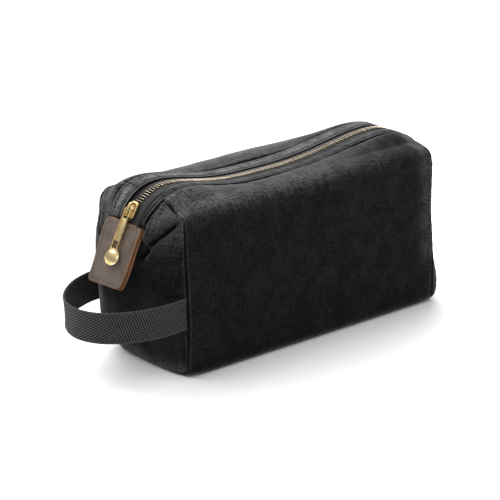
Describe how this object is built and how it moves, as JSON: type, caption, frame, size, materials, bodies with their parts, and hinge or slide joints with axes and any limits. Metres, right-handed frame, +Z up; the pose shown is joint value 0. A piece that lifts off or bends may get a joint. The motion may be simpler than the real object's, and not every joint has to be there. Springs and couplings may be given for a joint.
{
  "type": "shaving kit bag",
  "caption": "Boxy wash bag in dark waxed canvas with a metal zip along the top, a leather tab at the zip's end and a webbing carry loop.",
  "frame": {"origin": "middle of the flat base, on the surface that the bag stands on", "axes": "+X along the bag, away from the strap and the closed slider; +Y to the back; +Z up"},
  "size_m": [0.3466, 0.1068, 0.1479],
  "materials": {
    "canvas": "waxed and washed cotton canvas, mottled, near black",
    "canvas_trim": "folded waxed canvas with worn edges",
    "lining": "plain dark cotton",
    "binding": "folded seam binding",
    "webbing": "herringbone cotton webbing, charcoal",
    "zip_tape": "woven zip tape, black",
    "zip_brass": "antique brass, worn",
    "puller_brass": "antique brass, brushed",
    "leather_face": "matte brown-grey leather with tan raw edges",
    "leather_back": "matte tan leather"
  },
  "bodies": {
    "bag": {"body_panel": "canvas", "end_panel_left": "canvas", "end_panel_right": "canvas", "lining_body": "lining", "lining_end_left": "lining", "lining_end_right": "lining", "seam_binding_left": "binding", "seam_binding_right": "binding", "zip_facing_front_left": "canvas_trim", "zip_tape_front_left": "zip_tape", "zip_teeth_front_left": "zip_brass", "zip_facing_front_right": "canvas_trim", "zip_tape_front_right": "zip_tape", "zip_teeth_front_right": "zip_brass", "zip_top_stop_front": "zip_brass", "zip_facing_back_left": "canvas_trim", "zip_tape_back_left": "zip_tape", "zip_teeth_back_left": "zip_brass", "zip_facing_back_right": "canvas_trim", "zip_tape_back_right": "zip_tape", "zip_teeth_back_right": "zip_brass", "zip_top_stop_back": "zip_brass", "zip_bottom_stop": "zip_brass", "strap_root_front": "webbing", "strap_root_back": "webbing"},
    "slider": {"slider_body": "zip_brass", "slider_bridge": "zip_brass"},
    "puller": {"zip_puller": "puller_brass"},
    "tab": {"tab_leather_front": "leather_face", "tab_leather_back": "leather_back", "zip_tape_tail": "zip_tape"},
    "strap": {"carry_strap": "webbing"},
    "mouth_front": {"top_panel_front": "canvas", "lining_top_front": "lining", "zip_facing_front": "canvas_trim", "zip_tape_front": "zip_tape", "zip_teeth_front": "zip_brass"},
    "mouth_back": {"top_panel_back": "canvas", "lining_top_back": "lining", "zip_facing_back": "canvas_trim", "zip_tape_back": "zip_tape", "zip_teeth_back": "zip_brass"}
  },
  "joints": [
    {"name": "zip_travel", "type": "hinge", "parent": "bag", "child": "slider", "pos_m": [-0.00172, 0, -0.11337], "axis": [0, 1, 0], "range_deg": [0, 52], "deforming": ["zip_tape_front_left", "zip_teeth_front_left", "zip_tape_front", "zip_teeth_front", "zip_tape_front_right", "zip_teeth_front_right", "zip_tape_back_left", "zip_teeth_back_left", "zip_tape_back", "zip_teeth_back", "zip_tape_back_right", "zip_teeth_back_right", "zip_top_stop_front", "zip_top_stop_back", "zip_bottom_stop"]},
    {"name": "puller_flip", "type": "hinge", "parent": "slider", "child": "puller", "pos_m": [-0.14488, 0, 0.13264], "axis": [0, 1, 0], "range_deg": [0, 175]},
    {"name": "tab_flex", "type": "hinge", "parent": "bag", "child": "tab", "pos_m": [-0.14756, 0, 0.11822], "axis": [0, 1, 0], "range_deg": [-8, 0], "stiffness_Nm_per_rad": 0.15},
    {"name": "strap_swing", "type": "hinge", "parent": "bag", "child": "strap", "pos_m": [-0.131, 0, 0.055], "axis": [0, 1, 0], "range_deg": [-30, 45], "stiffness_Nm_per_rad": 0.4},
    {"name": "mouth_front_turn", "type": "hinge", "parent": "bag", "child": "mouth_front", "pos_m": [0, -0.04761, 0.13511], "axis": [1, 0, 0], "range_deg": [0, 70]},
    {"name": "mouth_back_turn", "type": "hinge", "parent": "bag", "child": "mouth_back", "pos_m": [0, 0.04761, 0.13511], "axis": [-1, 0, 0], "range_deg": [0, 70]}
  ]
}
